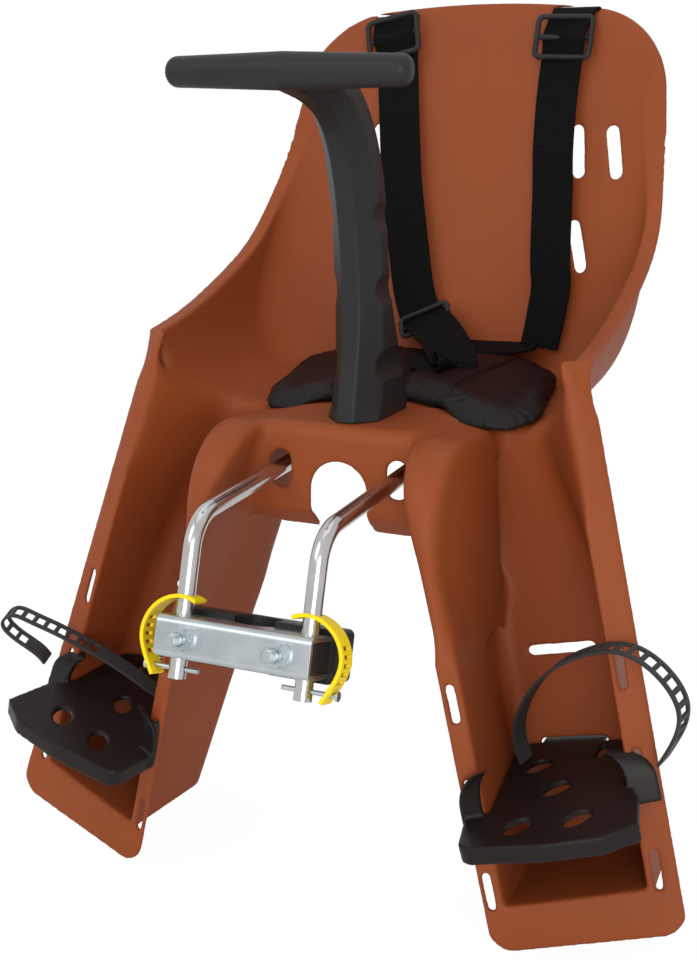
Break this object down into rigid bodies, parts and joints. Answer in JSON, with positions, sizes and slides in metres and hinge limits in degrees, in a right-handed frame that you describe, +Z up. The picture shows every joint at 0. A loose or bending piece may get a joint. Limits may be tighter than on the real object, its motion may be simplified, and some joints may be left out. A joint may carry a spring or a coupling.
{
  "type": "front-mounted child bicycle seat",
  "caption": "Moulded bucket seat with leg guards, T grip, footrests and harness, carried by a bent steel bow that clamps to a bicycle stem.",
  "frame": {"origin": "middle of the stem clamp, on the stem's axis", "axes": "+Z up, -Y the way the child faces, +X towards the child's left"},
  "size_m": [0.5051, 0.4698, 0.6075],
  "materials": {
    "shell_plastic": "fine matte moulded grain",
    "cushion_fabric": "quilted, slightly shiny woven cover",
    "belt_webbing": "woven webbing",
    "black_plastic": "matte moulded",
    "black_rubber": "soft matte",
    "yellow_plastic": "smooth moulded",
    "bow_chrome": "bright plated rod",
    "zinc_steel": "bright zinc plate"
  },
  "bodies": {
    "root": {"seat_shell": "shell_plastic", "seat_cushion": "cushion_fabric", "grip_handle": "black_plastic", "grip_screw_front": "zinc_steel", "grip_screw_rear": "zinc_steel", "mounting_bow": "bow_chrome", "bow_bracket_front": "black_plastic", "bow_bracket_rear": "black_plastic", "clamp_front_channel": "zinc_steel", "clamp_front_block": "black_plastic", "clamp_rear_block": "black_plastic", "clamp_rear_plate": "zinc_steel", "shoulder_belt_left": "belt_webbing", "shoulder_belt_right": "belt_webbing", "belt_slide_left": "black_plastic", "belt_slide_right": "black_plastic", "belt_adjuster": "black_plastic", "lap_belt": "belt_webbing", "belt_tail": "belt_webbing", "bracket_screw_1": "zinc_steel", "bracket_screw_2": "zinc_steel", "bracket_screw_3": "zinc_steel", "bracket_screw_4": "zinc_steel", "clamp_bolt_left": "zinc_steel", "clamp_washer_left": "zinc_steel", "clamp_nut_left": "zinc_steel", "safety_pin_left": "zinc_steel", "safety_strap_left": "yellow_plastic", "footrest_left": "black_plastic", "foot_strap_left": "black_rubber", "clamp_bolt_right": "zinc_steel", "clamp_washer_right": "zinc_steel", "clamp_nut_right": "zinc_steel", "safety_pin_right": "zinc_steel", "safety_strap_right": "yellow_plastic", "footrest_right": "black_plastic", "foot_strap_right": "black_rubber"}
  },
  "joints": []
}
